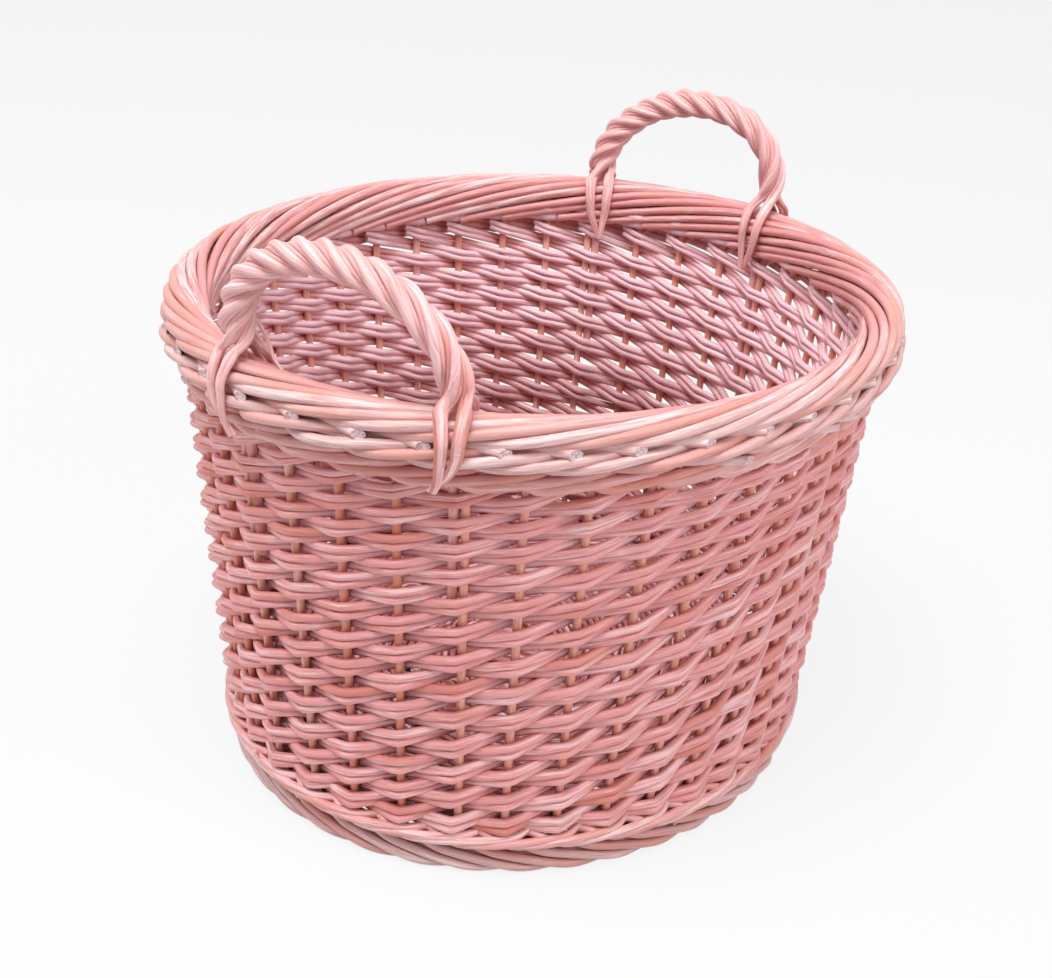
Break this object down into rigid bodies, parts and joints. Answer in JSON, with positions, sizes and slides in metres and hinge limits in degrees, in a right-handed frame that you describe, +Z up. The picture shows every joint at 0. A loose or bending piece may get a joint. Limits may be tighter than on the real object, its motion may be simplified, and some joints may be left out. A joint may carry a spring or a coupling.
{
  "type": "storage basket",
  "caption": "Oval woven willow storage basket, open at the top, flaring to a rolled rim border with a roped handle loop at each end.",
  "frame": {"origin": "on the floor, under the middle of the basket", "axes": "+Z up, +X along the length of the oval towards one handle, +Y across the width"},
  "size_m": [0.45, 0.405, 0.3475],
  "materials": {
    "weavers": "satin paint on peeled willow rods",
    "stakes": "satin paint on peeled willow rods",
    "border_rods": "satin paint on peeled willow rods",
    "base_rods": "satin paint on peeled willow rods",
    "handle_rods": "satin paint on peeled willow rods"
  },
  "bodies": {
    "root": {"side_weave_01": "weavers", "side_weave_02": "weavers", "side_weave_03": "weavers", "side_weave_04": "weavers", "side_weave_05": "weavers", "side_weave_06": "weavers", "side_weave_07": "weavers", "side_weave_08": "weavers", "side_weave_09": "weavers", "side_weave_10": "weavers", "side_weave_11": "weavers", "side_weave_12": "weavers", "side_weave_13": "weavers", "side_weave_14": "weavers", "side_weave_15": "weavers", "side_weave_16": "weavers", "side_weave_17": "weavers", "side_weave_18": "weavers", "side_weave_19": "weavers", "side_weave_20": "weavers", "side_weave_21": "weavers", "side_weave_22": "weavers", "side_weave_23": "weavers", "side_weave_24": "weavers", "bottom_wale_1": "border_rods", "bottom_wale_2": "border_rods", "bottom_wale_3": "border_rods", "top_wale_1": "border_rods", "top_wale_2": "border_rods", "top_wale_3": "border_rods", "stake_pair_01": "stakes", "stake_pair_02": "stakes", "stake_pair_03": "stakes", "stake_pair_04": "stakes", "stake_pair_05": "stakes", "stake_pair_06": "stakes", "stake_pair_07": "stakes", "stake_pair_08": "stakes", "stake_pair_09": "stakes", "stake_pair_10": "stakes", "stake_pair_11": "stakes", "stake_pair_12": "stakes", "stake_pair_13": "stakes", "stake_pair_14": "stakes", "stake_pair_15": "stakes", "stake_pair_16": "stakes", "stake_pair_17": "stakes", "stake_pair_18": "stakes", "stake_pair_19": "stakes", "stake_pair_20": "stakes", "handle_bow_right": "handle_rods", "handle_rope_right": "handle_rods", "handle_bow_left": "handle_rods", "handle_rope_left": "handle_rods", "rim_border": "border_rods", "foot_border": "border_rods", "base_through_sticks": "base_rods", "base_split_sticks": "base_rods", "base_weave": "base_rods"}
  },
  "joints": []
}
